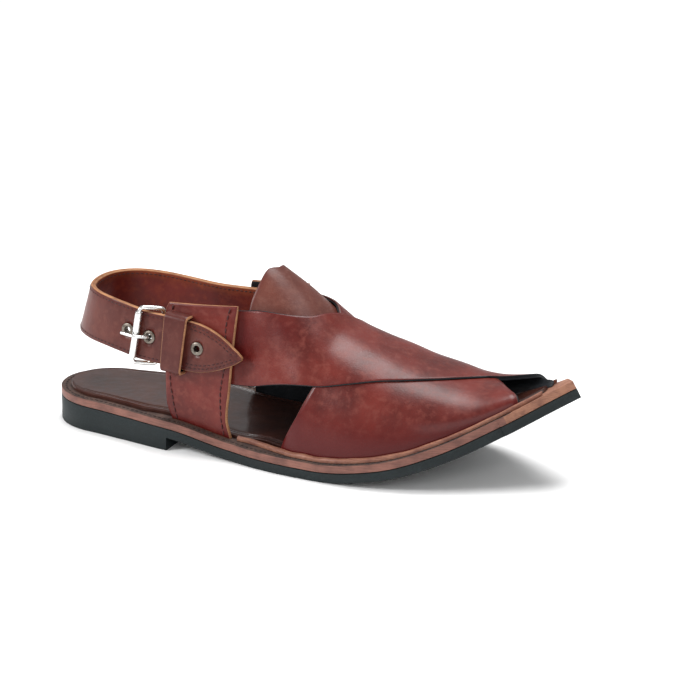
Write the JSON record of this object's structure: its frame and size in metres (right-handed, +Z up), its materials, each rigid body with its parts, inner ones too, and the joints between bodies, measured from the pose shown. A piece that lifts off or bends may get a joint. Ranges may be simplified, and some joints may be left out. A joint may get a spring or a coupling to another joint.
{
  "type": "peshawari chappal",
  "caption": "Right shoe: leather sandal with wide straps crossed over the toes, open upturned toe, tongue, buckled back strap and heeled rubber sole.",
  "frame": {"origin": "on the floor, under the middle of the shoe's length and width", "axes": "+X towards the toe, +Y towards the medial side, +Z up"},
  "size_m": [0.2982, 0.0972, 0.0977],
  "materials": {
    "rubber": "matt moulded rubber",
    "sole_leather": "cut edge, waxed",
    "footbed": "glossy",
    "rand_leather": "satin",
    "burgundy_leather": "burnished, semi-gloss",
    "tongue_leather": "semi-gloss",
    "strap_leather": "semi-gloss with raw tan edges",
    "tan_leather": "raw flesh side",
    "buckle_steel": "polished",
    "eyelet_metal": "dull, antiqued"
  },
  "bodies": {
    "root": {"outsole": "rubber", "midsole": "sole_leather", "insole": "footbed", "rand_lateral": "rand_leather", "rand_medial": "rand_leather", "upper": "burgundy_leather", "tongue": "tongue_leather", "quarter_lateral": "burgundy_leather", "quarter_medial": "burgundy_leather", "heel_strap": "strap_leather", "keeper": "burgundy_leather", "buckle_tab": "tan_leather", "buckle_frame": "buckle_steel", "buckle_roller": "buckle_steel", "buckle_prong": "buckle_steel", "eyelet_1": "eyelet_metal", "eyelet_2": "eyelet_metal", "eyelet_3": "eyelet_metal", "eyelet_4": "eyelet_metal"}
  },
  "joints": []
}
